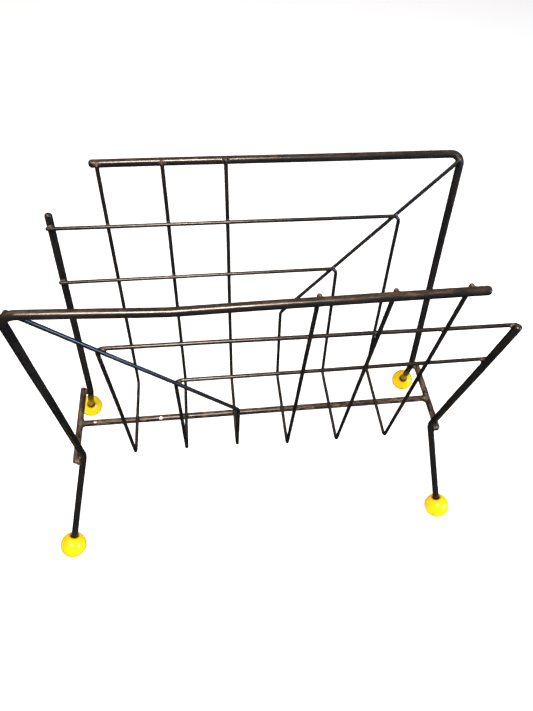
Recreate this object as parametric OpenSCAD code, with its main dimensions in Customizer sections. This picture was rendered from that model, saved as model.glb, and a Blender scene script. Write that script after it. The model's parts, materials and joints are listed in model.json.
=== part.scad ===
// Wire magazine rack: a welded steel rod frame on four ball feet.
// Origin: floor level, at the middle of the rack. X runs along the rack, Y across it, Z up.
// The front set of rods (y < 0) has its frame corner at the left. The back set is turned 180 degrees.

/* [Stock] */
// Diameter of the thick frame rod
rod_d = 6.35; // [5:0.05:7]
// Diameter of the basket wire
wire_d = 3.175; // [2.5:0.025:3.5]
// Root gap that each weld fills between two rods
root_gap = 0.1; // [0.05:0.05:0.2]

/* [Base] */
// Distance from the middle to the axis of each end bar
end_bar_x = 181; // [175:1:190]
// Distance from the end bars' axes in to the knees, along the rack
knee_inset = 8.4; // [8.3:0.1:9]
// Height of the left end bar's axis
left_base_z = 102; // [99:1:104]
// Height of the right end bar's axis
right_base_z = 106; // [103:1:108]
// Half length of an end bar
end_bar_half = 43.5; // [42:0.5:48]
// How much the right end bar is cut short at the front
end_bar_trim = 6; // [0:0.5:7]

/* [Panels] */
// Lean of the panels from upright, in degrees
lean = 7.2; // [6:0.1:9]
// Distance from the middle to the wires, across the rack, at the basket's floor
floor_y = 40; // [38:0.5:42]
// Height of the back rail's axis
rail_z = 348.5; // [340:0.5:356]
// How much higher the front rail's ends stand
front_rise = 5; // [0:0.5:6]
// Depth of the bend in the front rail below the line of its ends
front_dip = 5.5; // [1:0.5:7]
// Distance from the middle to the frame corners
corner_x = 168; // [165:1:171]
// Distance from the middle to the front rail's free end
front_free_x = 132; // [128:1:138]
// Distance from the middle to the back rail's free end
back_free_x = 127; // [126:1:138]

/* [Knees] */
// Knee of the front frame: across from the middle and up
front_frame_knee = [39.8, 108]; // [200]
// Knee of the front lone leg
front_leg_knee = [36, 112]; // [200]
// Knee of the back frame
back_frame_knee = [39.8, 112]; // [200]
// Knee of the back lone leg
back_leg_knee = [37, 107]; // [200]

/* [Lone legs] */
// Top of the front lone leg, along and up
front_leg_top = [176.5, 302]; // [300]
// Top of the back lone leg, along and up
back_leg_top = [168.8, 307]; // [300]

/* [Basket] */
// Spacing of the basket wires
wire_pitch = 49.2; // [47:0.1:50]
// Height at which the outer wires turn level
top_level = 299; // [297:0.5:300]
// Drop from one wire's corner to the next
level_drop = 52.4; // [50:0.1:53]

/* [Feet] */
// Diameter of a ball foot
ball_d = 25.4; // [24:0.1:27]
// Depth of the flat worn on each ball's underside
ball_flat = 0.25; // [0.15:0.05:0.4]
// Frame rod's foot: along and across
frame_foot = [198.6, 89.6]; // [200]
// Lone leg's foot: along and across
leg_foot = [194, 81.5]; // [200]

/* [Hidden] */
$fn = 48;

PAINT = "#1f1c1a";
WELD = "#2c2723";
YELLOW = "#f2c200";

// Bend radii on the rods' axes
corner_bend = 10;
knee_bend = 14;
dip_bend = 60;
floor_bend = 5;
wire_bend = 6;
// A bend laps its straight rods by this length, and is this much fatter in radius
bend_lap = 0.25;
bend_swell = 0.015;

// Distances between the axes of touching rods
wire_on_wire = wire_d + root_gap;
wire_on_rod = (wire_d + rod_d) / 2 + root_gap;

knee_x = end_bar_x - knee_inset;
floor_z = (left_base_z + right_base_z) / 2 + wire_on_rod;
ball_z = ball_d / 2 - ball_flat;

// Layers of a panel, counted outwards from its inner wires
inner_layer = 0;
outer_layer = wire_on_wire;
leg_layer = wire_on_rod;
rail_layer = outer_layer + wire_on_rod;

// A wire's tip stands this far above the rail's axis
tip_rise = 0.5;
// A level wire runs this far past the lone leg's axis
level_overrun = 2;
// The diagonal stops this far along and below the sharp corner of the frame's axis
diagonal_inset = corner_bend * (1 - sqrt(0.5));
// Depth to which a rod's end enters its ball, and the bore round it
socket_depth = 13;
socket_play = 0.05;
socket_mouth = 1.2;

// ---- Vectors ----

function unit(v) = v / norm(v);
function mix(a, b, t) = a + (b - a) * t;
function half_turn(p) = [-p[0], -p[1], p[2]];
function half_turn_if(turned, p) = turned ? half_turn(p) : p;

// ---- Panel geometry, front set ----

// Distance across the rack of a layer at height z
function reach(z, layer) = floor_y + (z - floor_z) * tan(lean) + layer / cos(lean);
// Point in the front panel
function on_panel(x, z, layer) = [x, -reach(z, layer), z];
// Unit vector out of the front panel
outward = [0, -cos(lean), -sin(lean)];

// The frame rod comes down at side -1 and the lone leg at side 1
function knee(side, front) =
    let (frame_knee = front ? front_frame_knee : back_frame_knee,
        leg_knee = front ? front_leg_knee : back_leg_knee,
        k = side < 0 ? frame_knee : leg_knee)
    [side * knee_x, -k[0], k[1]];
function foot(side) = let (f = side < 0 ? frame_foot : leg_foot)
    [side * f[0], -f[1], ball_z];

// Height of the centre bar's axis, which rises from the left end bar to the right one
function bar_z(x) = mix(left_base_z, right_base_z, (x + end_bar_x) / (2 * end_bar_x));
function end_bar_z(side) = side < 0 ? left_base_z : right_base_z;

// A rail is the line corner, dip, free end
function rail_corner(front) = on_panel(-corner_x, rail_z + (front ? front_rise : 0), rail_layer);
function rail_free(front) = front ? on_panel(front_free_x, rail_z + front_rise, rail_layer)
    : on_panel(back_free_x, rail_z, rail_layer);
dip_share = 0.33;
function rail_dip(front) = let (p = mix(rail_corner(front), rail_free(front), dip_share))
    front ? on_panel(p[0], p[2] - front_dip, rail_layer) : p;
function rail_at(x, front) = let (a = rail_dip(front), b = rail_free(front))
    mix(a, b, (x - a[0]) / (b[0] - a[0]));

// A lone leg lies in the leg layer at the upper level and runs straight down to its knee
function leg_top(front) = let (top = front ? front_leg_top : back_leg_top,
        k = knee(1, front), share = (top[1] - k[2]) / (top_level - k[2]))
    [top[0], mix(k[1], -reach(top_level, leg_layer), share), top[1]];
function leg_at(z, front) = let (k = knee(1, front), top = leg_top(front))
    mix(k, top, (z - k[2]) / (top[2] - k[2]));

// Corner of basket wire n, where n is 0 at the outer wire, 1 at the middle one and 2 at the inner one
function wire_x(n) = -(2.5 - n) * wire_pitch;
function wire_level(n) = top_level - n * level_drop;
function wire_corner(n) = on_panel(wire_x(n), wire_level(n), inner_layer);
// Where a level wire meets its lone leg
function level_end(n, front) = leg_at(wire_level(n), front) + [0, wire_on_rod / cos(lean), 0];
// Where the diagonal meets the middle of the frame's corner bend
function diagonal_end(front) =
    rail_corner(front) + [diagonal_inset, (wire_on_rod + root_gap) / cos(lean), -diagonal_inset];

// Path of a basket wire: down the opposite panel, across the floor, up this panel and along it
function wire_path(n, front) =
    let (x = wire_x(n), tip_z = rail_at(-x, !front)[2] + tip_rise,
        low_z = bar_z(front ? x : -x) + wire_on_rod,
        end = n < 2 ? level_end(n, front) + [level_overrun, 0, 0] : diagonal_end(front),
        turn_layer = n < 2 ? inner_layer : outer_layer)
    [[x, reach(tip_z, outer_layer), tip_z],
     [x, reach(low_z, outer_layer), low_z],
     [x, -reach(low_z, inner_layer), low_z],
     on_panel(x, wire_level(n), turn_layer),
     end];

// ---- Bent rod ----

function run_dir(p, i) = unit(p[i + 1] - p[i]);
function is_bend(p, i) = i > 0 && i < len(p) - 1;
function turn(p, i) = acos(run_dir(p, i - 1) * run_dir(p, i));
function setback(p, r, i) = is_bend(p, i) ? r[i] * tan(turn(p, i) / 2) : 0;
function bend_side(p, i) = let (a = run_dir(p, i - 1), b = run_dir(p, i)) unit(b - (a * b) * a);

// Puts what it draws at p, with its +Z along u
module along(p, u) {
    translate(p)
        rotate([0, acos(u[2]), atan2(u[1], u[0])])
            children();
}

// Cylinder from a to b
module stick(a, b, d) {
    along(a, unit(b - a))
        cylinder(d = d, h = norm(b - a));
}

// Round end of a stick whose axis is along u
module dome(p, u, d) {
    along(p, u)
        sphere(d = d);
}

// Arc of rod that starts at the origin along +Z and turns towards +X
module arc(r, angle, d) {
    translate([r, 0, 0])
        rotate([90, 0, 180])
            rotate_extrude(angle = angle)
                translate([r, 0])
                    circle(d = d + 2 * bend_swell);
}

// Rod along the points p, with bend radius r[i] at point i
module bent_rod(p, r, d) {
    last = len(p) - 1;
    for (i = [0:last - 1]) {
        u = run_dir(p, i);
        from = is_bend(p, i) ? setback(p, r, i) - bend_lap : 0;
        to = is_bend(p, i + 1) ? setback(p, r, i + 1) - bend_lap : 0;
        stick(p[i] + u * from, p[i + 1] - u * to, d);
    }
    for (i = [1:last - 1]) {
        z = run_dir(p, i - 1);
        x = bend_side(p, i);
        y = cross(z, x);
        o = p[i] - z * setback(p, r, i);
        multmatrix([
            [x[0], y[0], z[0], o[0]],
            [x[1], y[1], z[1], o[1]],
            [x[2], y[2], z[2], o[2]],
            [0, 0, 0, 1]])
            arc(r[i], turn(p, i), d);
    }
}

// Draws the front set as it is, or turned to the back
module on_side(front) {
    rotate([0, 0, front ? 0 : 180])
        children();
}

// ---- Frame ----

// Where a rod's end stops inside its ball
function socket_end(knee_point, foot_point) =
    foot_point + unit(knee_point - foot_point) * (ball_d / 2 - socket_depth);

function frame_path(front) = concat(
    [rail_free(front)], front ? [rail_dip(front)] : [],
    [rail_corner(front), knee(-1, front), socket_end(knee(-1, front), foot(-1))]);

module frame(front) {
    color(PAINT)
        on_side(front) {
            bends = concat([0], front ? [dip_bend] : [], [corner_bend, knee_bend, 0]);
            bent_rod(frame_path(front), bends, rod_d);
            dome(rail_free(front), run_dir(frame_path(front), 0), rod_d);
        }
}

module lone_leg(front) {
    path = [leg_top(front), knee(1, front), socket_end(knee(1, front), foot(1))];
    color(PAINT)
        on_side(front) {
            bent_rod(path, [0, knee_bend, 0], rod_d);
            dome(path[0], run_dir(path, 0), rod_d);
        }
}

// Bar with softly rounded, sheared ends
module sheared_bar(a, b) {
    nose = rod_d / 8;
    u = unit(b - a);
    stick(a + u * nose, b - u * nose, rod_d);
    for (end = [[a, u], [b, -u]])
        stick(end[0], end[0] + end[1] * 2 * nose, rod_d - 2 * nose);
}

// Start, end and diameter of an end bar before it is trimmed
function end_bar_axis(side) = [
    [side * end_bar_x, -end_bar_half, end_bar_z(side)],
    [side * end_bar_x, end_bar_half, end_bar_z(side)],
    rod_d];

module end_bar(side, trim) {
    axis = end_bar_axis(side);
    color(PAINT)
        sheared_bar(axis[0] + [0, trim, 0], axis[1]);
}

// Start, end and diameter of the centre bar
function centre_bar_axis() = let (half = end_bar_x - rod_d / 2 - root_gap)
    [[-half, 0, bar_z(-half)], [half, 0, bar_z(half)], rod_d];

module centre_bar() {
    axis = centre_bar_axis();
    color(PAINT)
        stick(axis[0], axis[1], rod_d);
}

// ---- Basket ----

module basket_wire(n, front) {
    path = wire_path(n, front);
    color(PAINT)
        on_side(front) {
            bent_rod(path, [0, floor_bend, floor_bend, wire_bend, 0], wire_d);
            dome(path[0], run_dir(path, 0), wire_d);
            dome(path[4], run_dir(path, 3), wire_d);
        }
}

// ---- Feet ----

// Ball with a blind bore along the line from its centre to the knee, and a worn flat underneath
module ball(knee_point, foot_point) {
    axis = unit(knee_point - foot_point);
    bottom = foot_point + axis * (ball_d / 2 - socket_depth - socket_play);
    color(YELLOW)
        difference() {
            translate(foot_point)
                sphere(d = ball_d, $fn = 96);
            stick(bottom, bottom + axis * ball_d, rod_d + 2 * socket_play);
            stick(foot_point + axis * (ball_d / 2 - socket_mouth), foot_point + axis * ball_d,
                rod_d + 2 * socket_mouth);
            translate([foot_point[0], foot_point[1], -ball_d / 2])
                cube([ball_d, ball_d, ball_d], center = true);
        }
}

module foot_ball(side, front) {
    on_side(front)
        ball(knee(side, front), foot(side));
}

// ---- Welds ----

// Bead at a point, cut to fit the two rods that it joins; a rod is [start, end, diameter]
// The poles of the bead point along the line between the rods
module bead(at, poles, d, rod_a, rod_b) {
    color(WELD)
        difference() {
            along(at, poles)
                sphere(d = d);
            stick(rod_a[0], rod_a[1], rod_a[2]);
            stick(rod_b[0], rod_b[1], rod_b[2]);
        }
}

rail_bead_d = 5.6;
rail_bead_rise = 0.8;
corner_bead_d = 5.2;
spot_d = 3.4;
leg_bead_d = 6;
floor_bead_d = 6;
knee_bead_d = 9;
knee_bead_in = 1.3;
butt_bead_d = 9;

// Room in a bead for a wire's round tip: the point where the dome ends
function dome_top(base, tip) = tip + unit(tip - base) * wire_d / 2;

// The wires of the other set end on this rail
module rail_welds(front) {
    on_side(front)
        for (n = [0:2]) {
            rail = rail_at(-wire_x(n), front);
            tip = half_turn(wire_path(n, !front)[0]);
            base = half_turn(wire_path(n, !front)[1]);
            bead(mix(rail, tip, 0.7) + [0, 0, rail_bead_rise], outward, rail_bead_d,
                [rail_dip(front), rail_free(front), rod_d], [base, dome_top(base, tip), wire_d]);
        }
}

// Level wires cross the upright wires of the other set
module lattice_welds(front) {
    on_side(front) {
        for (n = [0:1], m = [0:2]) {
            a = wire_corner(n);
            b = level_end(n, front);
            x = -wire_x(m);
            level = mix(a, b, (x - a[0]) / (b[0] - a[0]));
            upright = on_panel(x, level[2], outer_layer);
            bead(mix(level, upright, 0.5), outward, spot_d, [a, b, wire_d],
                [on_panel(x, floor_z, outer_layer), on_panel(x, rail_z, outer_layer), wire_d]);
        }
        for (n = [0:1]) {
            a = on_panel(wire_x(2), wire_level(2), outer_layer);
            b = diagonal_end(front);
            u = unit(b - a);
            corner = wire_corner(n);
            level_b = level_end(n, front);
            spot = a + u * ((corner[2] - a[2]) / u[2]);
            level = mix(corner, level_b, (spot[0] - corner[0]) / (level_b[0] - corner[0]));
            bead(mix(spot, level, 0.5) + [wire_d / 2, 0, 0], outward, spot_d, [a, b, wire_d],
                [corner - [wire_d, 0, 0], level_b, wire_d]);
        }
    }
}

// Level wires end on the lone leg
module leg_welds(front) {
    on_side(front)
        for (n = [0:1]) {
            end = level_end(n, front);
            leg = leg_at(wire_level(n), front);
            bead(mix(leg, end, 0.7), outward, leg_bead_d, [leg_top(front), knee(1, front), rod_d],
                [wire_corner(n), end + [level_overrun, 0, 0], wire_d]);
        }
}

// The diagonal ends behind the frame's corner bend, which the bead meets along its middle tangent
module corner_weld(front) {
    end = diagonal_end(front);
    corner = rail_corner(front);
    start = on_panel(wire_x(2), wire_level(2), outer_layer);
    middle = corner + [diagonal_inset, 0, -diagonal_inset];
    tangent = unit(unit(rail_dip(front) - corner) + unit(corner - knee(-1, front)));
    on_side(front)
        bead(mix(middle, end, 0.7), outward, corner_bead_d,
            [middle - tangent * rod_d, middle + tangent * rod_d, rod_d],
            [start, dome_top(start, end), wire_d]);
}

// Basket wires lie on the centre bar
module floor_welds() {
    for (n = [-2.5:2.5]) {
        x = n * wire_pitch;
        low_z = bar_z(x) + wire_on_rod;
        bead([x, 0, mix(bar_z(x), low_z, 0.64)], [0, 0, 1], floor_bead_d, centre_bar_axis(),
            [[x, -floor_y, low_z], [x, floor_y, low_z], wire_d]);
    }
}

// The knees are welded to the end bars; the bead meets a knee's bend along its middle tangent
module knee_weld(side, front) {
    k = knee(side, front);
    up = unit(k - (side < 0 ? rail_corner(front) : leg_top(front)));
    down = unit(foot(side) - k);
    tangent = unit(up + down);
    middle = k + unit(down - up) * knee_bend * (1 / cos(acos(up * down) / 2) - 1);
    axis = end_bar_axis(front ? side : -side);
    bar = [half_turn_if(!front, axis[0]), half_turn_if(!front, axis[1]), rod_d];
    beside = [bar[0][0], middle[1], bar[0][2]];
    bead(mix(middle, beside, 0.5) + [0, knee_bead_in, 0], unit(beside - middle), knee_bead_d,
        [middle - tangent * rod_d, middle + tangent * rod_d, rod_d + 2 * bend_swell], bar);
}

// The centre bar is butt-welded between the end bars
module butt_weld(side) {
    axis = centre_bar_axis();
    bead(side < 0 ? axis[0] : axis[1], [1, 0, 0], butt_bead_d, axis, end_bar_axis(side));
}

module base_welds() {
    for (side = [-1, 1]) {
        for (front = [true, false])
            on_side(front)
                knee_weld(side, front);
        butt_weld(side);
    }
}

frame(true);  // front_frame
frame(false);  // back_frame
lone_leg(true);  // front_lone_leg
lone_leg(false);  // back_lone_leg
end_bar(-1, 0);  // left_end_bar
end_bar(1, end_bar_trim);  // right_end_bar
centre_bar();
basket_wire(0, true);  // front_wire_outer
basket_wire(1, true);  // front_wire_middle
basket_wire(2, true);  // front_wire_inner
basket_wire(0, false);  // back_wire_outer
basket_wire(1, false);  // back_wire_middle
basket_wire(2, false);  // back_wire_inner
foot_ball(-1, true);  // ball_front_left
foot_ball(1, true);  // ball_front_right
foot_ball(1, false);  // ball_back_left
foot_ball(-1, false);  // ball_back_right
rail_welds(true);  // front_rail_welds
rail_welds(false);  // back_rail_welds
lattice_welds(true);  // front_lattice_welds
lattice_welds(false);  // back_lattice_welds
leg_welds(true);  // front_leg_welds
leg_welds(false);  // back_leg_welds
corner_weld(true);  // front_corner_weld
corner_weld(false);  // back_corner_weld
floor_welds();
base_welds();
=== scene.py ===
"""Looks of a welded wire magazine rack on four turned ball feet.

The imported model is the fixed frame. Every rod is drawn again as one swept tube along the line that its
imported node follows, every weld as a fillet run between the two rods that meet there, and every ball as a
turned and lacquered foot. Sizes are in metres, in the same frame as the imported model.
"""

from __future__ import annotations

import json
import logging
import math
from dataclasses import dataclass
from enum import Enum

import bmesh
import bpy
import numpy as np
from mathutils import Matrix, Vector, noise
from mathutils.geometry import intersect_line_line

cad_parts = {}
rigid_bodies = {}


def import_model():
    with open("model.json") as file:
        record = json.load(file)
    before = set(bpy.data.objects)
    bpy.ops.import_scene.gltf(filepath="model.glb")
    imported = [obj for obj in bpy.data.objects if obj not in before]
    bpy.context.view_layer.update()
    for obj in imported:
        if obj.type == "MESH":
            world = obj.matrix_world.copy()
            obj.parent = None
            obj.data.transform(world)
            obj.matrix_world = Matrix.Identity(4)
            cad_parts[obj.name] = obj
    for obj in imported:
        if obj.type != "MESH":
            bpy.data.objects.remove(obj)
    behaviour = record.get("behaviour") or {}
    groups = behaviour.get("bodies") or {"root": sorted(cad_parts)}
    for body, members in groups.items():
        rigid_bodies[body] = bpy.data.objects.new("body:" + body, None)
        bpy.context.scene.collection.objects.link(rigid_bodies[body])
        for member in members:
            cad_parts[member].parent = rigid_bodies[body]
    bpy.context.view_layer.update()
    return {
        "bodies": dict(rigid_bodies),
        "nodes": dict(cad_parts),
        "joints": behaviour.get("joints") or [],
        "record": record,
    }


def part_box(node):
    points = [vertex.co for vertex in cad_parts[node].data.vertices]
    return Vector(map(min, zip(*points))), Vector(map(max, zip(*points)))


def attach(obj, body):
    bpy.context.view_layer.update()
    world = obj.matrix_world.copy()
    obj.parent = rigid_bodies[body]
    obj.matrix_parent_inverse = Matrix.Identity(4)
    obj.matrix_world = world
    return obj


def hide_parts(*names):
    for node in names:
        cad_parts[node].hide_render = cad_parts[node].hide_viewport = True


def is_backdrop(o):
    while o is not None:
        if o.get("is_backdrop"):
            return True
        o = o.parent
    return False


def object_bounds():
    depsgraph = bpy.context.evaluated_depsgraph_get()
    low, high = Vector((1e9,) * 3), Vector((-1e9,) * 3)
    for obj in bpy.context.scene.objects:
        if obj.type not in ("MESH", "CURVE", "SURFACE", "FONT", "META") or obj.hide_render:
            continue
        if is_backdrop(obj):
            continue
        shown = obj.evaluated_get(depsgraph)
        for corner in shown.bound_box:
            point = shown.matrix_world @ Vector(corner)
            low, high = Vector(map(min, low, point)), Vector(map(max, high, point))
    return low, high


LOG = logging.getLogger("magazine_rack")
MM = 0.001
BODY = "root"
GRAIN = "grain"
SEED = 1

PAINT_SLOT = "black_paint"
BALL_SLOT = "yellow_lacquer"
WELD_SLOT = "painted_weld"

Socket = bpy.types.NodeSocket
Colour = tuple[float, float, float, float]


class Axis(Enum):
    """An axis of the frame."""

    X = 0
    Y = 1
    Z = 2

    @property
    def unit(self) -> Vector:
        """The unit vector along this axis."""
        return Vector([1.0 if i == self.value else 0.0 for i in range(3)])


class End(Enum):
    """One end of a box or of a choice."""

    LOW = 0
    HIGH = 1

    @property
    def other(self) -> "End":
        """The opposite end."""
        return End.HIGH if self is End.LOW else End.LOW


class TipStyle(Enum):
    """How a rod ends: the depth of its rounding in radii, and the power of the curve."""

    ROUND = (0.86, 2.2)
    SHEARED = (0.3, 3.2)
    HIDDEN = (0.1, 2.0)


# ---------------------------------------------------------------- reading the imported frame


@dataclass(frozen=True)
class Section:
    """A closed cut through a rod: its middle and its size along each axis."""

    middle: Vector
    size: Vector


@dataclass(frozen=True)
class Run:
    """A straight stretch of a rod, found by cutting its node at two stations.

    The stations are fractions of the node's box. Where a plane cuts the node more than once, the section
    furthest towards one end of the pick axis is taken.
    """

    across: Axis
    stations: tuple[float, float]
    pick: tuple[Axis, End] = (Axis.Z, End.HIGH)

    def turned(self) -> "Run":
        """The same run on a node that is turned half round about the vertical."""
        axis, end = self.pick
        stations = self.stations
        if self.across is not Axis.Z:
            stations = (1.0 - stations[0], 1.0 - stations[1])
        return Run(self.across, stations, (axis, end if axis is Axis.Z else end.other))


@dataclass(frozen=True)
class Tip:
    """The end of a rod: the side of the node's box that it reaches, and its style."""

    axis: Axis
    end: End
    style: TipStyle = TipStyle.ROUND

    def turned(self) -> "Tip":
        """The same tip on a node that is turned half round about the vertical."""
        return Tip(self.axis, self.end if self.axis is Axis.Z else self.end.other, self.style)


class PackedNode:
    """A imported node, read for where its metal lies."""

    merge_distance = 0.002 * MM

    def __init__(self, name: str, nodes: dict[str, bpy.types.Object]) -> None:
        """Keeps a merged copy of the node's mesh.

        Args:
            name: The node's name.
            nodes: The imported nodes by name.
        """
        self.low, self.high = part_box(name)
        self.mesh = bmesh.new()
        self.mesh.from_mesh(nodes[name].data)
        bmesh.ops.remove_doubles(self.mesh, verts=self.mesh.verts, dist=self.merge_distance)

    def at(self, axis: Axis, fraction: float) -> float:
        """The place along an axis at that fraction of the node's box."""
        i = axis.value
        return self.low[i] + (self.high[i] - self.low[i]) * fraction

    def islands(self) -> list[Section]:
        """The node's separate solids, as a middle and a size each, in order of place."""
        found = groups(set(self.mesh.verts), set(self.mesh.edges))
        return sorted(found, key=lambda section: tuple(section.middle))

    def cut(self, run: Run, fraction: float) -> Section:
        """The rod's section where a plane across the run's axis cuts the node.

        Args:
            run: The run that is looked for.
            fraction: Where the plane stands, as a fraction of the node's box.

        Returns:
            The section that the run picks.
        """
        work = self.mesh.copy()
        normal = run.across.unit
        whole = work.verts[:] + work.edges[:] + work.faces[:]
        place = normal * self.at(run.across, fraction)
        made = bmesh.ops.bisect_plane(work, geom=whole, plane_co=place, plane_no=normal)["geom_cut"]
        verts = {g for g in made if isinstance(g, bmesh.types.BMVert)}
        edges = {g for g in made if isinstance(g, bmesh.types.BMEdge)}
        axis, end = run.pick
        found = sorted(groups(verts, edges), key=lambda s: s.middle[axis.value])
        chosen = found[-1] if end is End.HIGH else found[0]
        work.free()
        return chosen

    def close(self) -> None:
        """Lets the merged copy go."""
        self.mesh.free()


def groups(verts: set, edges: set) -> list[Section]:
    """Splits points into the groups that the edges join.

    Args:
        verts: The points.
        edges: The edges that may be walked.

    Returns:
        The middle and the size of each group's box.
    """
    left, found = set(verts), []
    while left:
        queue = [left.pop()]
        points = []
        while queue:
            vert = queue.pop()
            points.append(vert.co.copy())
            for edge in vert.link_edges:
                other = edge.other_vert(vert)
                if edge in edges and other in left:
                    left.discard(other)
                    queue.append(other)
        low = Vector([min(p[i] for p in points) for i in range(3)])
        high = Vector([max(p[i] for p in points) for i in range(3)])
        found.append(Section((low + high) / 2, high - low))
    return found


@dataclass(frozen=True)
class Line:
    """A straight line through a point."""

    point: Vector
    along: Vector

    def at_plane(self, axis: Axis, place: float) -> Vector:
        """Where the line meets the plane across an axis at that place."""
        i = axis.value
        return self.point + self.along * ((place - self.point[i]) / self.along[i])

    def meeting(self, other: "Line") -> Vector:
        """The point midway between the two lines where they pass closest."""
        a, b = intersect_line_line(
            self.point, self.point + self.along, other.point, other.point + other.along
        )
        return (a + b) / 2


# ---------------------------------------------------------------- rods


@dataclass(frozen=True)
class RodPlan:
    """What a rod is: the node it stands for, its straight runs, its bends and its two ends."""

    node: str
    runs: tuple[Run, ...]
    bends: tuple[float, ...]
    start: Tip
    finish: Tip
    rings: int = 28
    step: float = 2.0 * MM

    def turned(self, node: str) -> "RodPlan":
        """The plan of the same rod turned half round, for another node."""
        return RodPlan(
            node,
            tuple(run.turned() for run in self.runs),
            self.bends,
            self.start.turned(),
            self.finish.turned(),
            self.rings,
            self.step,
        )


@dataclass(frozen=True)
class Wander:
    """How far real rod strays from a straight line, and how uneven its painted skin is."""

    drift: float = 0.22 * MM
    drift_length: float = 75.0 * MM
    dent: float = 0.05 * MM
    dent_length: float = 7.0 * MM

    def stray(self, place: Vector) -> Vector:
        """The sideways drift of the rod at a place."""
        return noise.noise_vector(place / self.drift_length) * self.drift

    def skin(self, place: Vector) -> float:
        """The height of the painted skin at a place."""
        return noise.noise(place / self.dent_length) * self.dent


class Rod:
    """One bent rod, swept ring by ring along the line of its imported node."""

    bend_step = math.radians(4.5)
    tip_rings = 7
    spacing = 1.7

    def __init__(self, plan: RodPlan, nodes: dict[str, bpy.types.Object], number: int) -> None:
        """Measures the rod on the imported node.

        Args:
            plan: What the rod is.
            nodes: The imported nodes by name.
            number: Sets this rod's grain apart from the other rods'.
        """
        self.plan = plan
        self.wander = Wander()
        self.offset = number * self.spacing
        packed = PackedNode(plan.node, nodes)
        self.points, self.radius = self._measure(packed)
        packed.close()
        self.line: list[Vector] = []

    def _measure(self, packed: PackedNode) -> tuple[list[Vector], float]:
        """Finds the rod's corners, its ends and its radius.

        Args:
            packed: The node that the rod stands for.

        Returns:
            The points from end to end, and the radius.
        """
        lines, radius = [], 0.0
        for run in self.plan.runs:
            first, second = (packed.cut(run, s) for s in run.stations)
            lines.append(Line(first.middle, (second.middle - first.middle).normalized()))
            others = [first.size[i] for i in range(3) if i != run.across.value]
            radius = radius or min(others) / 2
        points = [self._tip(packed, lines[0], self.plan.start, radius)]
        points += [a.meeting(b) for a, b in zip(lines, lines[1:])]
        points.append(self._tip(packed, lines[-1], self.plan.finish, radius))
        return points, radius

    def _tip(self, packed: PackedNode, line: Line, tip: Tip, radius: float) -> Vector:
        """Where the full thickness of the rod ends.

        Args:
            packed: The node that the rod stands for.
            line: The line of the rod's last run.
            tip: The end that is wanted.
            radius: The rod's radius.

        Returns:
            The middle of the last full ring.
        """
        i = tip.axis.value
        inset = radius if tip.style is not TipStyle.SHEARED else radius * tip.style.value[0]
        place = packed.high[i] - inset if tip.end is End.HIGH else packed.low[i] + inset
        return line.at_plane(tip.axis, place)

    def build(self) -> bpy.types.Object:
        """Sweeps the rod.

        Returns:
            The finished piece.
        """
        mesh = bmesh.new()
        self.grain = mesh.verts.layers.float_vector.new(GRAIN)
        self._begin(mesh)
        ways = [(b - a).normalized() for a, b in zip(self.points, self.points[1:])]
        trims = [0.0]
        for i, radius in enumerate(self.plan.bends):
            trims.append(radius * math.tan(ways[i].angle(ways[i + 1]) / 2))
        trims.append(0.0)
        for i, way in enumerate(ways):
            length = (self.points[i + 1] - self.points[i]).length - trims[i] - trims[i + 1]
            self._straight(mesh, way, length)
            if i < len(self.plan.bends):
                self._bend(mesh, way, ways[i + 1], self.plan.bends[i])
        self._round_off(mesh, ways[-1])
        self._weather(mesh)
        return finished(mesh, self.plan.node + "_rod")

    def _begin(self, mesh: bmesh.types.BMesh) -> None:
        """Makes the starting tip and leaves its full ring as the current one."""
        way = (self.points[1] - self.points[0]).normalized()
        self.centre = self.points[0].copy()
        profile = self._profile(self.plan.start.style)
        inset, share = profile[-1]
        facing = way.to_track_quat("Z", "Y").to_matrix().to_4x4()
        place = Matrix.Translation(self.centre - way * inset) @ facing
        made = bmesh.ops.create_circle(
            mesh, cap_ends=True, cap_tris=True, segments=self.plan.rings,
            radius=self.radius * share, matrix=place,
        )
        turn = place.to_3x3().transposed()
        for vert in made["verts"]:
            spot = turn @ (vert.co - place.translation)
            if spot.length > 0:
                spot *= self.radius / (self.radius * share)
            vert[self.grain] = Vector((self.offset, spot.x, spot.y))
        self.ring = [e for e in mesh.edges if e.is_boundary]
        for inset, share in reversed(profile[:-1]):
            self._resize(mesh, self.centre - way * inset, share)
        self.line.append(self.centre.copy())

    def _profile(self, style: TipStyle) -> list[tuple[float, float]]:
        """The rings of a tip, from the full one out.

        Args:
            style: How the rod ends.

        Returns:
            How far each ring stands out, and its share of the radius.
        """
        depth, power = style.value
        rings = []
        for i in range(self.tip_rings + 1):
            angle = math.pi / 2 * i / (self.tip_rings + 0.6)
            out = math.sin(angle) ** (2 / power)
            rings.append((self.radius * depth * out, math.cos(angle) ** (2 / power)))
        return rings

    def _grow(self, mesh: bmesh.types.BMesh) -> list[bmesh.types.BMVert]:
        """Extrudes the current ring in place and makes the new one current.

        Returns:
            The new ring's points.
        """
        made = bmesh.ops.extrude_edge_only(mesh, edges=self.ring)["geom"]
        verts = [g for g in made if isinstance(g, bmesh.types.BMVert)]
        fresh = set(verts)
        self.ring = [
            g for g in made if isinstance(g, bmesh.types.BMEdge) and set(g.verts) <= fresh
        ]
        return verts

    def _resize(self, mesh: bmesh.types.BMesh, middle: Vector, share: float) -> None:
        """Grows a ring of another size, for a tip.

        Args:
            mesh: The rod's mesh.
            middle: The new ring's middle.
            share: The new ring's share of the rod's radius.
        """
        verts = self._grow(mesh)
        old = sum((v.co for v in verts), Vector()) / len(verts)
        now = sum((v.co - old).length for v in verts) / len(verts)
        factor = self.radius * share / now
        for vert in verts:
            vert.co = middle + (vert.co - old) * factor

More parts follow.
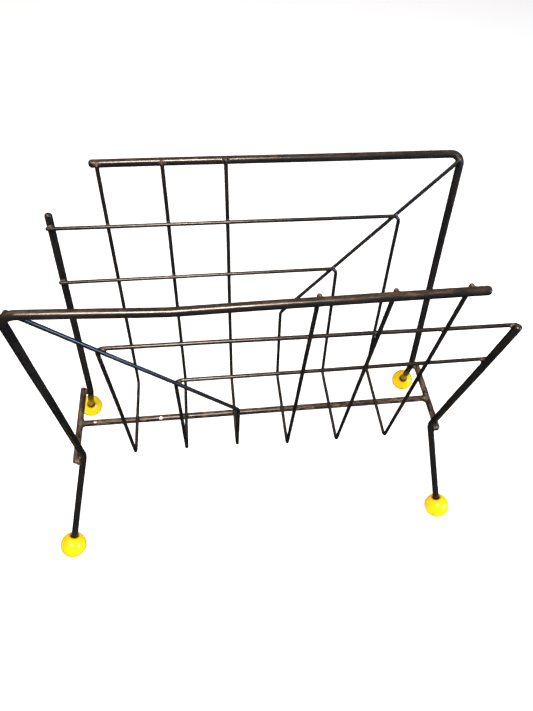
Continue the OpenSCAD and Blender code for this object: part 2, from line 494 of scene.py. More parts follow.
    def _straight(self, mesh: bmesh.types.BMesh, way: Vector, length: float) -> None:
        """Runs straight on.

        Args:
            mesh: The rod's mesh.
            way: The direction.
            length: How far.
        """
        count = max(1, round(length / self.plan.step))
        for _ in range(count):
            verts = self._grow(mesh)
            bmesh.ops.translate(mesh, verts=verts, vec=way * (length / count))
            self._advance(verts, length / count, self.centre + way * (length / count))

    def _bend(self, mesh: bmesh.types.BMesh, way: Vector, then: Vector, radius: float) -> None:
        """Bends from one direction into another.

        Args:
            mesh: The rod's mesh.
            way: The direction before the bend.
            then: The direction after it.
            radius: The bend's radius on the rod's axis.
        """
        axis = way.cross(then).normalized()
        middle = self.centre + axis.cross(way) * radius
        angle = way.angle(then)
        count = max(2, math.ceil(angle / self.bend_step))
        for _ in range(count):
            made = bmesh.ops.spin(
                mesh, geom=self.ring, cent=middle, axis=axis, dvec=(0.0, 0.0, 0.0),
                angle=angle / count, steps=1, use_duplicate=False,
            )["geom_last"]
            verts = [g for g in made if isinstance(g, bmesh.types.BMVert)]
            self.ring = [g for g in made if isinstance(g, bmesh.types.BMEdge)]
            turn = Matrix.Rotation(angle / count, 3, axis)
            self._advance(verts, radius * angle / count, middle + turn @ (self.centre - middle))

    def _advance(self, verts: list[bmesh.types.BMVert], length: float, centre: Vector) -> None:
        """Notes that the current ring has moved on.

        Args:
            verts: The current ring's points.
            length: How far it moved along the rod.
            centre: Its middle now.
        """
        for vert in verts:
            spot = vert[self.grain]
            vert[self.grain] = Vector((spot.x + length, spot.y, spot.z))
        self.centre = centre
        self.line.append(centre.copy())

    def _round_off(self, mesh: bmesh.types.BMesh, way: Vector) -> None:
        """Makes the last tip and closes it.

        Args:
            mesh: The rod's mesh.
            way: The direction at the rod's end.
        """
        for inset, share in self._profile(self.plan.finish.style)[1:]:
            self._resize(mesh, self.centre + way * inset, share)
        cap = bmesh.ops.contextual_create(mesh, geom=self.ring)["faces"]
        bmesh.ops.poke(mesh, faces=cap)

    def _weather(self, mesh: bmesh.types.BMesh) -> None:
        """Gives the rod the small unevenness of bent and painted stock."""
        bmesh.ops.recalc_face_normals(mesh, faces=mesh.faces)
        mesh.normal_update()
        moves = [self.wander.stray(v.co) + v.normal * self.wander.skin(v.co) for v in mesh.verts]
        for vert, move in zip(mesh.verts, moves):
            vert.co += move
        self.line = [p + self.wander.stray(p) for p in self.line]


def finished(mesh: bmesh.types.BMesh, name: str) -> bpy.types.Object:
    """Turns a bmesh into a smooth shaded object at the origin.

    Args:
        mesh: The mesh, which is freed.
        name: The piece's name.

    Returns:
        The new object.
    """
    for face in mesh.faces:
        face.smooth = True
    data = bpy.data.meshes.new(name)
    mesh.to_mesh(data)
    mesh.free()
    piece = bpy.data.objects.new(name, data)
    bpy.context.scene.collection.objects.link(piece)
    return piece


def install(piece: bpy.types.Object, material: bpy.types.Material, slot: str, *nodes: str) -> None:
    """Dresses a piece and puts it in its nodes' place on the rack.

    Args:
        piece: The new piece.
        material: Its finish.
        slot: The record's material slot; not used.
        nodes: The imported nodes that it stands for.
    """
    piece.data.materials.append(material)
    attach(piece, BODY)
    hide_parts(*nodes)
    LOG.info("%s: %d faces for %s", piece.name, len(piece.data.polygons), ", ".join(nodes))


# ---------------------------------------------------------------- welds


@dataclass(frozen=True)
class WeldStyle:
    """The look of a run of weld: reach and fillet in sums of the two rods' radii, and its unevenness."""

    reach: float = 1.25
    fillet: float = 1.0
    ripple: float = 0.32 * MM
    ripple_length: float = 1.3 * MM


class WeldSet:
    """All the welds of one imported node, each a fillet between the two rods that meet there."""

    fineness = 5
    shrink = 0.07 * MM
    search_steps = 18

    def __init__(self, node: str, rods: list[Rod], style: WeldStyle) -> None:
        """Keeps what the welds are made from.

        Args:
            node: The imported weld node.
            rods: All the rods of the rack, already built.
            style: The welds' look.
        """
        self.node = node
        self.rods = [(np.array([tuple(p) for p in rod.line]), rod.radius) for rod in rods]
        self.style = style

    def build(self, nodes: dict[str, bpy.types.Object]) -> bpy.types.Object:
        """Makes every weld of the node.

        Args:
            nodes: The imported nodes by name.

        Returns:
            The finished piece.
        """
        packed = PackedNode(self.node, nodes)
        mesh = bmesh.new()
        for island in packed.islands():
            self._bead(mesh, island.middle)
        packed.close()
        bmesh.ops.recalc_face_normals(mesh, faces=mesh.faces)
        return finished(mesh, self.node + "_beads")

    def _bead(self, mesh: bmesh.types.BMesh, place: Vector) -> None:
        """Adds one bead: a ball of points drawn in onto the fillet between two rods.

        Args:
            mesh: The mesh that takes the bead.
            place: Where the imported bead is.
        """
        spot = np.array(place)[None, :]
        near = sorted(self.rods, key=lambda rod: float(distance(spot, rod[0])[0]) - rod[1])[:2]
        first, second = (nearest(spot, rod[0])[0] for rod in near)
        radii = near[0][1] + near[1][1]
        middle = first + (second - first) * (near[0][1] / radii)
        limit = self.style.reach * radii
        made = bmesh.ops.create_icosphere(mesh, subdivisions=self.fineness, radius=1.0)["verts"]
        ways = np.array([tuple(v.co) for v in made])
        low, high = np.zeros(len(ways)), np.full(len(ways), limit)
        for _ in range(self.search_steps):
            half = (low + high) / 2
            inside = self._depth(middle + ways * half[:, None], near, radii)[0] < 0
            low, high = np.where(inside, half, low), np.where(inside, high, half)
        points = middle + ways * low[:, None]
        blend = self._depth(points, near, radii)[1]
        for vert, way, point, share in zip(made, ways, points, blend):
            ripple = noise.noise(Vector(point) / self.style.ripple_length) * self.style.ripple
            vert.co = Vector(point) + Vector(way) * (ripple * share)

    def _depth(self, points: np.ndarray, near: list, radii: float) -> tuple[np.ndarray, np.ndarray]:
        """How far points lie outside the two rods and the fillet between them.

        Args:
            points: The points.
            near: The two rods, as a line of points and a radius each.
            radii: The sum of the two radii.

        Returns:
            The distance, negative inside, and how much of each point's place is owed to the fillet.
        """
        fillet = self.style.fillet * radii
        a, b = (distance(points, line) - radius + self.shrink for line, radius in near)
        share = np.clip(fillet - np.abs(a - b), 0, None) / fillet
        return np.minimum(a, b) - share**2 * fillet / 4, share


def nearest(points: np.ndarray, line: np.ndarray) -> np.ndarray:
    """The closest place on a broken line to each point.

    Args:
        points: The points, one a row.
        line: The corners of the broken line, one a row.

    Returns:
        The closest places, one a row.
    """
    gaps = np.linalg.norm(points.mean(axis=0) - line, axis=1)
    reach = 12.0 * MM
    keep = np.nonzero(gaps < gaps.min() + reach)[0]
    line = line[max(keep.min() - 1, 0) : keep.max() + 2]
    start, step = line[:-1], np.diff(line, axis=0)
    share = np.einsum("psk,sk->ps", points[:, None, :] - start[None], step) / (step**2).sum(axis=1)
    places = start[None] + np.clip(share, 0, 1)[..., None] * step[None]
    best = np.linalg.norm(points[:, None, :] - places, axis=2).argmin(axis=1)
    return places[np.arange(len(points)), best]


def distance(points: np.ndarray, line: np.ndarray) -> np.ndarray:
    """How far each point lies from a broken line."""
    return np.linalg.norm(points - nearest(points, line), axis=1)


# ---------------------------------------------------------------- ball feet


@dataclass
class BallFoot:
    """A turned wooden ball, bored for the rod's end and flattened where it stands."""

    node: str
    rod: Rod
    bore_play: float = 0.12 * MM
    mouth: float = 0.95 * MM
    bore_depth: float = 12.4 * MM
    around: int = 96
    down: int = 110
    ridge: float = 0.022 * MM
    ridge_length: float = 1.15 * MM

    def build(self) -> bpy.types.Object:
        """Turns the ball.

        Returns:
            The finished piece.
        """
        low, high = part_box(self.node)
        radius = (high.x - low.x) / 2
        centre = Vector(((low.x + high.x) / 2, (low.y + high.y) / 2, high.z - radius))
        knee, foot = self.rod.points[-2], self.rod.points[-1]
        mesh = bmesh.new()
        self._profile(mesh, radius)
        bmesh.ops.spin(
            mesh, geom=mesh.verts[:] + mesh.edges[:], cent=(0, 0, 0), axis=(0, 0, 1), dvec=(0, 0, 0),
            angle=math.tau, steps=self.around, use_merge=True, use_duplicate=False,
        )
        bmesh.ops.remove_doubles(mesh, verts=mesh.verts, dist=0.005 * MM)
        self._ridges(mesh, radius)
        turn = (knee - foot).to_track_quat("Z", "Y").to_matrix().to_4x4()
        self._mark(mesh)
        bmesh.ops.transform(mesh, matrix=Matrix.Translation(centre) @ turn, verts=mesh.verts)
        for vert in mesh.verts:
            vert.co.z = max(vert.co.z, low.z)
        bmesh.ops.recalc_face_normals(mesh, faces=mesh.faces)
        return finished(mesh, self.node + "_turned")

    def _profile(self, mesh: bmesh.types.BMesh, radius: float) -> None:
        """Draws half of the ball's outline, from the bottom of the bore out and round to the far pole.

        Args:
            mesh: The mesh that takes the outline.
            radius: The ball's radius.
        """
        bore = self.rod.radius + self.bore_play
        lip = bore + self.mouth
        lip_angle = math.asin(lip / radius)
        rim = radius * math.cos(lip_angle)
        outline = [
            (0.0, radius - self.bore_depth),
            (bore, radius - self.bore_depth),
            (bore, rim - 1.6 * self.mouth),
            (bore + 0.08 * self.mouth, rim - 1.0 * self.mouth),
            (bore + 0.3 * self.mouth, rim - 0.45 * self.mouth),
            (bore + 0.62 * self.mouth, rim - 0.12 * self.mouth),
            (lip, rim),
        ]
        verts = [mesh.verts.new((across, 0.0, up)) for across, up in outline]
        for a, b in zip(verts, verts[1:]):
            mesh.edges.new((a, b))
        bmesh.ops.spin(
            mesh, geom=[verts[-1]], cent=(0, 0, 0), axis=(0, 1, 0), dvec=(0, 0, 0),
            angle=math.pi - lip_angle, steps=self.down, use_duplicate=False,
        )

    def _ridges(self, mesh: bmesh.types.BMesh, radius: float) -> None:
        """Leaves the faint rings of the lathe under the lacquer.

        Args:
            mesh: The ball's mesh.
            radius: The ball's radius.
        """
        for vert in mesh.verts:
            out = vert.co.length / radius
            if out > 0.97:
                ring = noise.noise(Vector((0.3, 0.7, vert.co.z / self.ridge_length)))
                vert.co *= 1 + (ring - 0.4) * self.ridge / radius

    def _mark(self, mesh: bmesh.types.BMesh) -> None:
        """Stores where each point lay on the lathe, with the turning axis as the third number."""
        grain = mesh.verts.layers.float_vector.new(GRAIN)
        for vert in mesh.verts:
            vert[grain] = vert.co.copy()


# ---------------------------------------------------------------- shader tools


@dataclass
class Graph:
    """Adds and joins nodes in one shader tree."""

    tree: bpy.types.NodeTree

    def feed(self, socket: Socket, value: "Socket | float | tuple") -> None:
        """Links a socket to another, or sets its value."""
        if isinstance(value, bpy.types.NodeSocket):
            self.tree.links.new(value, socket)
        else:
            socket.default_value = value

    def add(
        self, kind: str, settings: dict | None = None, **inputs: "Socket | float | tuple"
    ) -> bpy.types.Node:
        """Adds a node.

        Args:
            kind: The node's type.
            settings: Properties of the node.
            inputs: Values or links by input name, with _ for a space.

        Returns:
            The node.
        """
        node = self.tree.nodes.new(kind)
        for name, value in (settings or {}).items():
            setattr(node, name, value)
        for name, value in inputs.items():
            self.feed(node.inputs[name.replace("_", " ")], value)
        return node

    def math(self, operation: str, a: "Socket | float", b: "Socket | float" = 0.0) -> Socket:
        """The result of a Math node."""
        node = self.add("ShaderNodeMath", {"operation": operation})
        self.feed(node.inputs[0], a)
        self.feed(node.inputs[1], b)
        return node.outputs[0]

    def noise(self, vector: Socket, scale: "Socket | float", detail: float = 4.0, rough: float = 0.55,
              stray: float = 0.0) -> Socket:
        """The value of a noise pattern."""
        node = self.add("ShaderNodeTexNoise", Vector=vector, Scale=scale, Detail=detail, Roughness=rough,
                        Distortion=stray)
        return node.outputs[0]

    def smooth(self, value: Socket, low: "Socket | float", high: "Socket | float") -> Socket:
        """Nought below low, one above high, and a smooth step between."""
        node = self.add("ShaderNodeMapRange", {"interpolation_type": "SMOOTHSTEP"}, Value=value,
                        From_Min=low, From_Max=high)
        return node.outputs[0]

    def stretch(self, vector: Socket, scale: tuple[float, float, float]) -> Socket:
        """The vector scaled by a different amount along each axis."""
        return self.add("ShaderNodeMapping", Vector=vector, Scale=scale).outputs[0]

    def blend(self, mask: "Socket | float", under: "Socket | Colour", over: "Socket | Colour") -> Socket:
        """One colour laid over another through a mask."""
        node = self.add("ShaderNodeMix", {"data_type": "RGBA"})
        self.feed(node.inputs[0], mask)
        self.feed(node.inputs[6], under)
        self.feed(node.inputs[7], over)
        return node.outputs[2]

    def grain(self) -> Socket:
        """The piece's own coordinates: along the rod, or down the lathe."""
        return self.add("ShaderNodeAttribute", {"attribute_name": GRAIN}).outputs["Vector"]

    def place(self) -> Socket:
        """Object coordinates."""
        return self.add("ShaderNodeTexCoord").outputs["Object"]


def new_group(name: str, inputs: dict[str, float]) -> tuple[bpy.types.NodeTree, Graph, dict[str, Socket]]:
    """Starts a shader node group with one Mask output.

    Args:
        name: The group's name.
        inputs: The number inputs beside the Vector, and their values.

    Returns:
        The group, its graph and its inner input sockets by name.
    """
    tree = bpy.data.node_groups.new(name, "ShaderNodeTree")
    tree.interface.new_socket("Vector", in_out="INPUT", socket_type="NodeSocketVector")
    for label, value in inputs.items():
        made = tree.interface.new_socket(label, in_out="INPUT", socket_type="NodeSocketFloat")
        made.default_value = value
    tree.interface.new_socket("Mask", in_out="OUTPUT", socket_type="NodeSocketFloat")
    entry = tree.nodes.new("NodeGroupInput")
    return tree, Graph(tree), {s.name: s for s in entry.outputs if s.name}


class Effects:
    """The shader node groups that several finishes share."""

    def __init__(self) -> None:
        """Builds every group once."""
        self.patches = self._patches()
        self.top_scuff_and_painted_highlight = self._top_scuff_and_painted_highlight()
        self.chip = self._chip()

    @staticmethod
    def _end(graph: Graph, mask: Socket) -> bpy.types.NodeTree:
        """Feeds the group's output and returns the group."""
        leave = graph.tree.nodes.new("NodeGroupOutput")
        graph.feed(leave.inputs["Mask"], mask)
        return graph.tree

    def _patches(self) -> bpy.types.NodeTree:
        """Soft edged patches of a pattern between two levels."""
        _, graph, inner = new_group("patches", {"Scale": 100.0, "Low": 0.45, "High": 0.65, "Stray": 0.0})
        value = graph.noise(inner["Vector"], inner["Scale"], detail=5.0, rough=0.6, stray=0.0)
        pattern = value.node
        graph.feed(pattern.inputs["Distortion"], inner["Stray"])
        return self._end(graph, graph.smooth(value, inner["Low"], inner["High"]))

    def _top_scuff_and_painted_highlight(self) -> bpy.types.NodeTree:
        """Scuffed paint on the sides that face up, where hands and paper pass, together with a painted
        highlight: tops made lighter where the warm key light falls; broken up by a pattern.
        """
        _, graph, inner = new_group("top_scuff_and_painted_highlight", {"Scale": 60.0, "Low": 0.1, "High": 0.95, "Breakup": 0.5})
        # Painted highlight: the world normal picks out the tops, where the warm key light falls.
        normal = graph.add("ShaderNodeNewGeometry").outputs["Normal"]
        up = graph.add("ShaderNodeSeparateXYZ", Vector=normal).outputs["Z"]
        broken = graph.noise(inner["Vector"], inner["Scale"], detail=6.0, rough=0.65)
        lift = graph.math("MULTIPLY", graph.math("SUBTRACT", broken, 0.5), inner["Breakup"])
        facing = graph.math("ADD", up, lift)
        return self._end(graph, graph.smooth(facing, inner["Low"], inner["High"]))

    def _chip(self) -> bpy.types.NodeTree:
        """A ragged chip of lost paint round one spot."""
        tree, graph, inner = new_group("chip", {"Radius": 0.002, "Ragged": 0.5})
        tree.interface.new_socket("Spot", in_out="INPUT", socket_type="NodeSocketVector")
        entry = tree.nodes["Group Input"]
        apart = graph.add("ShaderNodeVectorMath", {"operation": "DISTANCE"})
        graph.feed(apart.inputs[0], inner["Vector"])
        graph.feed(apart.inputs[1], entry.outputs["Spot"])
        uneven = graph.math("SUBTRACT", graph.noise(inner["Vector"], 900.0, detail=3.0), 0.5)
        edge = graph.math("MULTIPLY", uneven, graph.math("MULTIPLY", inner["Radius"], inner["Ragged"]))
        gap = graph.math("ADD", apart.outputs["Value"], graph.math("MULTIPLY", edge, 4.0))
        inside = graph.math("SUBTRACT", 1.0, graph.math("DIVIDE", gap, inner["Radius"]))
        return self._end(graph, graph.smooth(inside, 0.0, 0.12))

    @staticmethod
    def use(graph: Graph, group: bpy.types.NodeTree, **inputs: "Socket | float | tuple") -> Socket:
        """Places a group in a material and returns its mask.

        Args:
            graph: The material's graph.
            group: The shared group.
            inputs: Values or links by input name.

        Returns:
            The group's mask.
        """
        node = graph.add("ShaderNodeGroup", {"node_tree": group})
        for name, value in inputs.items():
            graph.feed(node.inputs[name], value)
        return node.outputs["Mask"]


def new_material(name: str) -> tuple[bpy.types.Material, Graph, bpy.types.Node]:
    """Starts a material with one Principled shader.

    Args:
        name: The material's name.

    Returns:
        The material, its graph and the shader.
    """
    material = bpy.data.materials.new(name)
    material.use_nodes = True
    graph = Graph(material.node_tree)
    return material, graph, material.node_tree.nodes["Principled BSDF"]


# ---------------------------------------------------------------- finishes


@dataclass(frozen=True)
class Pattern:
    """A patchy pattern: how fine it is, the two levels of its edge, and how far it strays."""

    scale: float
    low: float
    high: float
    stray: float = 0.0

    def mask(self, graph: Graph, effects: Effects, vector: Socket) -> Socket:
        """Places the pattern in a material and returns its mask."""
        return effects.use(graph, effects.patches, Vector=vector, Scale=self.scale, Low=self.low,
                           High=self.high, Stray=self.stray)


@dataclass(frozen=True)
class TopScuffAndHighlight:
    """Scuffing and a painted highlight on the sides that face up: how fine, between which levels, and how
    broken up it is.
    """

    scale: float
    low: float
    high: float
    breakup: float

    def mask(self, graph: Graph, effects: Effects, vector: Socket) -> Socket:
        """Places the scuffing and painted highlight in a material and returns its mask."""
        return effects.use(graph, effects.top_scuff_and_painted_highlight, Vector=vector, Scale=self.scale, Low=self.low,
                           High=self.high, Breakup=self.breakup)


@dataclass(frozen=True)
class ChipMark:
    """A place where the paint has chipped down to a pale coat."""

    spot: tuple[float, float, float]
    radius: float


@dataclass(frozen=True)
class PaintFinish:
    """Old satin black paint on steel rod, brown on the sides that face up: partly scuffed paint and partly a
    painted highlight of the warm key light.
    """

    name: str
    scuff_and_highlight_strength: float = 0.5
    mottle: float = 0.5
    specks: float = 0.5
    patina: float = 0.2
    black: Colour = (0.0055, 0.0055, 0.0060, 1.0)
    smoky: Colour = (0.016, 0.014, 0.013, 1.0)
    scuff_and_highlight_brown: Colour = (0.085, 0.046, 0.024, 1.0)
    bronze: Colour = (0.17, 0.115, 0.07, 1.0)
    rust: Colour = (0.20, 0.085, 0.035, 1.0)
    pale: Colour = (0.78, 0.74, 0.58, 1.0)
    roughness: float = 0.2
    shine: float = 0.42
    stretch: float = 0.22
    clouds: Pattern = Pattern(95.0, 0.38, 0.72, 0.4)
    fine_grain: Pattern = Pattern(620.0, 0.34, 0.7, 0.6)
    flaking: Pattern = Pattern(300.0, 0.47, 0.66, 0.8)
    top_scuff_and_highlight: TopScuffAndHighlight = TopScuffAndHighlight(160.0, 0.5, 1.15, 1.2)
    chip_ragged: float = 1.1
    chips: tuple[ChipMark, ...] = ()

    def material(self, effects: Effects) -> bpy.types.Material:
        """Makes the material.

        Args:
            effects: The shared node groups.

        Returns:
            The material.
        """
        material, graph, shader = new_material(self.name)
        grain = graph.grain()
        long = graph.stretch(grain, (self.stretch, 1.0, 1.0))
        broad = self.clouds.mask(graph, effects, long)
        fine = self.fine_grain.mask(graph, effects, long)
        rusting = Pattern(780.0, 0.735 - 0.1 * self.specks, 0.78 - 0.08 * self.specks, 0.2)
        speck = rusting.mask(graph, effects, grain)
        # Painted highlight: the sides that face up get a lighter brown, partly scuffed paint and partly the
        # warm key light's highlight laid into the colour.
        top_scuff_and_painted_highlight = self.top_scuff_and_highlight.mask(graph, effects, long)
        cloudy = graph.math("MULTIPLY", broad, self.mottle)
        colour = graph.blend(cloudy, self.black, self.smoky)
        scuff_and_highlight = graph.math("MULTIPLY", top_scuff_and_painted_highlight, graph.math("ADD", graph.math("MULTIPLY", fine, 0.55), 0.2))
        scuff_and_highlight = graph.math("MULTIPLY", scuff_and_highlight, self.scuff_and_highlight_strength)
        colour = graph.blend(scuff_and_highlight, colour, self.scuff_and_highlight_brown)
        # The bronze patina is laid more on the sides that face up, so part of it is painted highlight.
        worn_and_painted_highlight = self.flaking.mask(graph, effects, long)
        upper = graph.math("ADD", graph.math("MULTIPLY", top_scuff_and_painted_highlight, 1.0 - self.patina), self.patina)
        worn_and_painted_highlight = graph.math("MULTIPLY", graph.math("MULTIPLY", worn_and_painted_highlight, upper), self.patina)
        colour = graph.blend(worn_and_painted_highlight, colour, self.bronze)
        colour = graph.blend(graph.math("MULTIPLY", speck, 0.3 + 0.7 * self.specks), colour, self.rust)
        height = graph.math("SUBTRACT", graph.math("MULTIPLY", fine, 0.5), graph.math("MULTIPLY", speck, 0.6))
        place = graph.place()
        for chip in self.chips:
            lost = effects.use(graph, effects.chip, Vector=place, Radius=chip.radius,
                               Ragged=self.chip_ragged, Spot=chip.spot)
            colour = graph.blend(lost, colour, self.pale)
            height = graph.math("SUBTRACT", height, lost)
        graph.feed(shader.inputs["Base Color"], colour)
        rough = graph.math("ADD", graph.math("MULTIPLY", fine, 0.07), self.roughness)
        rough = graph.math("ADD", rough, graph.math("MULTIPLY", scuff_and_highlight, 0.08))
        rough = graph.math("ADD", rough, graph.math("MULTIPLY", speck, 0.2))
        rough = graph.math("ADD", rough, graph.math("MULTIPLY", worn_and_painted_highlight, 0.2))
        graph.feed(shader.inputs["Roughness"], rough)
        shader.inputs["Specular IOR Level"].default_value = self.shine
        bump = graph.add("ShaderNodeBump", Strength=0.3, Distance=0.0001, Height=height)
        graph.feed(shader.inputs["Normal"], bump.outputs["Normal"])
        return material


@dataclass(frozen=True)
class WeldFinish:
    """Paint over a weld: a rougher skin with patches of brown heat stain, and a pale tan on the tops that is
    partly metal showing through and partly painted highlight.
    """

    name: str = "painted_weld_skin"
    paint: Colour = (0.008, 0.007, 0.007, 1.0)
    stain: Colour = (0.085, 0.046, 0.026, 1.0)
    bare: Colour = (0.27, 0.20, 0.145, 1.0)
    staining: Pattern = Pattern(260.0, 0.42, 0.72, 0.5)
    top_scuff_and_highlight: TopScuffAndHighlight = TopScuffAndHighlight(420.0, 0.7, 1.25, 1.4)

    def material(self, effects: Effects) -> bpy.types.Material:
        """Makes the material.

        Args:
            effects: The shared node groups.

        Returns:
            The material.
        """
        material, graph, shader = new_material(self.name)
        place = graph.place()
        stained = self.staining.mask(graph, effects, place)
        # Painted highlight: the sides of the welds that face up get a pale tan, partly metal showing through
        # and partly the key light's highlight laid into the colour.
        worn_and_painted_highlight = self.top_scuff_and_highlight.mask(graph, effects, place)
        colour = graph.blend(graph.math("MULTIPLY", stained, 0.6), self.paint, self.stain)
        colour = graph.blend(graph.math("MULTIPLY", worn_and_painted_highlight, 0.6), colour, self.bare)
        graph.feed(shader.inputs["Base Color"], colour)
        rough = graph.math("ADD", graph.math("MULTIPLY", stained, 0.25), 0.33)
        graph.feed(shader.inputs["Roughness"], rough)
        shader.inputs["Specular IOR Level"].default_value = 0.4
        ripples = graph.noise(place, 1400.0, detail=3.0)
        bump = graph.add("ShaderNodeBump", Strength=0.5, Distance=0.0002, Height=ripples)
        graph.feed(shader.inputs["Normal"], bump.outputs["Normal"])
        return material


@dataclass(frozen=True)
class LacquerFinish:
    """Glossy yellow lacquer on a turned ball: faint lathe rings, an orange tint, and a stained bore."""

    name: str = "yellow_ball_lacquer"
    yellow: Colour = (0.86, 0.57, 0.0, 1.0)
    amber: Colour = (0.80, 0.33, 0.0, 1.0)
    stain: Colour = (0.24, 0.075, 0.004, 1.0)
    wood: Colour = (0.10, 0.045, 0.015, 1.0)
    radius: float = 12.7 * MM
    bore_reach: float = 3.5 * MM
    mouth_reach: float = 4.1 * MM
    stain_reach: float = 6.0 * MM
    turning: Pattern = Pattern(900.0, 0.4, 0.66)
    clouds: Pattern = Pattern(90.0, 0.42, 0.75, 0.3)
    nicks: Pattern = Pattern(520.0, 0.74, 0.78, 0.2)

    def material(self, effects: Effects) -> bpy.types.Material:
        """Makes the material.

        Args:
            effects: The shared node groups.

        Returns:
            The material.
        """
        material, graph, shader = new_material(self.name)
        grain = graph.grain()
        parts = graph.add("ShaderNodeSeparateXYZ", Vector=grain)
        flat = graph.add("ShaderNodeCombineXYZ", X=parts.outputs["X"], Y=parts.outputs["Y"], Z=0.0)
        rings = graph.stretch(grain, (0.06, 0.06, 1.0))
        ring = self.turning.mask(graph, effects, rings)
        cloud = self.clouds.mask(graph, effects, grain)
        nick = self.nicks.mask(graph, effects, grain)
        across = graph.add("ShaderNodeVectorMath", {"operation": "LENGTH"})
        graph.feed(across.inputs[0], flat.outputs[0])
        out = across.outputs["Value"]
        height = graph.math("DIVIDE", parts.outputs["Z"], self.radius)
        ragged = graph.math("MULTIPLY", graph.math("SUBTRACT", graph.noise(grain, 420.0), 0.5), 0.12)
        above = graph.smooth(height, 0.0, 0.05)
        near = graph.math("SUBTRACT", graph.math("MULTIPLY", ragged, self.radius * 0.5), out)
        mouth = graph.math("MULTIPLY", graph.smooth(near, -self.stain_reach, -self.mouth_reach), above)
        inside = graph.math("MULTIPLY", graph.smooth(near, -self.mouth_reach, -self.bore_reach), above)
        tint = graph.math("ADD", graph.math("MULTIPLY", ring, 0.16), graph.math("MULTIPLY", cloud, 0.3))
        colour = graph.blend(tint, self.yellow, self.amber)
        colour = graph.blend(graph.math("MULTIPLY", mouth, 0.9), colour, self.stain)
        colour = graph.blend(nick, colour, self.amber)
        colour = graph.blend(inside, colour, self.wood)
        graph.feed(shader.inputs["Base Color"], colour)
        rough = graph.math("ADD", graph.math("MULTIPLY", cloud, 0.12), 0.24)
        rough = graph.math("ADD", rough, graph.math("MULTIPLY", mouth, 0.4))
        clean = graph.math("SUBTRACT", 1.0, mouth)
        graph.feed(shader.inputs["Specular IOR Level"], graph.math("MULTIPLY", clean, 0.3))
        graph.feed(shader.inputs["Coat Weight"], graph.math("MULTIPLY", clean, 0.15))
        graph.feed(shader.inputs["Roughness"], graph.math("ADD", rough, graph.math("MULTIPLY", nick, 0.3)))
        shader.inputs["Coat Roughness"].default_value = 0.12
        bumps = graph.math("SUBTRACT", graph.math("MULTIPLY", ring, 0.6), nick)
        bump = graph.add("ShaderNodeBump", Strength=0.2, Distance=0.0001, Height=bumps)
        graph.feed(shader.inputs["Normal"], bump.outputs["Normal"])
        return material


# ---------------------------------------------------------------- the rack's sub-assemblies


@dataclass
class Panel:
    """One side of the rack: its frame rod, its lone leg and its three basket wires."""

    side: str
    corner_bend: float = 10.0 * MM
    knee_bend: float = 14.0 * MM
    dip_bend: float = 60.0 * MM
    floor_bend: float = 5.0 * MM
    wire_bend: float = 6.0 * MM
    wire_rings: int = 20

    @property
    def front(self) -> bool:
        """Whether this is the front panel."""
        return self.side == "front"

    def frame_plan(self) -> RodPlan:
        """The frame rod: rail, corner, leg, knee and foot. The front rail has a dip."""
        leg = Run(Axis.Z, (0.85, 0.45))
        foot = Run(Axis.Z, (0.2, 0.08))
        free = Tip(Axis.X, End.HIGH)
        socket = Tip(Axis.Z, End.LOW, TipStyle.HIDDEN)
        if self.front:
            rail = (Run(Axis.X, (0.9, 0.6)), Run(Axis.X, (0.36, 0.15)))
            bends = (self.dip_bend, self.corner_bend, self.knee_bend)
            return RodPlan("front_frame", (*rail, leg, foot), bends, free, socket)
        runs = (Run(Axis.X, (0.9, 0.3)), leg, foot)
        plan = RodPlan("", runs, (self.corner_bend, self.knee_bend), free, socket)
        return plan.turned("back_frame")

    def leg_plan(self) -> RodPlan:
        """The lone leg: a free top, a knee and a foot."""
        runs = (Run(Axis.Z, (0.9, 0.5)), Run(Axis.Z, (0.2, 0.08)))
        top = Tip(Axis.Z, End.HIGH)
        socket = Tip(Axis.Z, End.LOW, TipStyle.HIDDEN)
        return RodPlan(self.side + "_lone_leg", runs, (self.knee_bend,), top, socket)

    def wire_plan(self, place: str) -> RodPlan:
        """A basket wire: down the far panel, across the floor, up this panel and along it.

        Args:
            place: Which wire: outer, middle or inner.

        Returns:
            The wire's plan.
        """
        down = Run(Axis.Z, (0.9, 0.3), (Axis.Y, End.HIGH))
        across = Run(Axis.Y, (0.68, 0.32), (Axis.Z, End.LOW))
        rise = Run(Axis.Z, (0.12, 0.28), (Axis.Y, End.LOW))
        inner = place == "inner"
        level = Run(Axis.X, (0.7, 0.2)) if inner else Run(Axis.X, (0.4, 0.8))
        plan = RodPlan(
            f"front_wire_{place}",
            (down, across, rise, level),
            (self.floor_bend, self.floor_bend, self.wire_bend),
            Tip(Axis.Z, End.HIGH),
            Tip(Axis.X, End.LOW if inner else End.HIGH),
            self.wire_rings,
        )
        return plan if self.front else plan.turned(f"back_wire_{place}")

    def plans(self) -> list[RodPlan]:
        """Every rod of the panel."""
        wires = [self.wire_plan(place) for place in ("outer", "middle", "inner")]
        return [self.frame_plan(), self.leg_plan(), *wires]


@dataclass
class Base:
    """The three straight bars that tie the legs together."""

    def plans(self) -> list[RodPlan]:
        """Every bar of the base."""
        ends = (Tip(Axis.Y, End.LOW, TipStyle.SHEARED), Tip(Axis.Y, End.HIGH, TipStyle.SHEARED))
        across = (Run(Axis.Y, (0.25, 0.75)),)
        bars = [RodPlan(f"{side}_end_bar", across, (), *ends) for side in ("left", "right")]
        butts = (Tip(Axis.X, End.LOW, TipStyle.SHEARED), Tip(Axis.X, End.HIGH, TipStyle.SHEARED))
        return [*bars, RodPlan("centre_bar", (Run(Axis.X, (0.2, 0.8)),), (), *butts)]


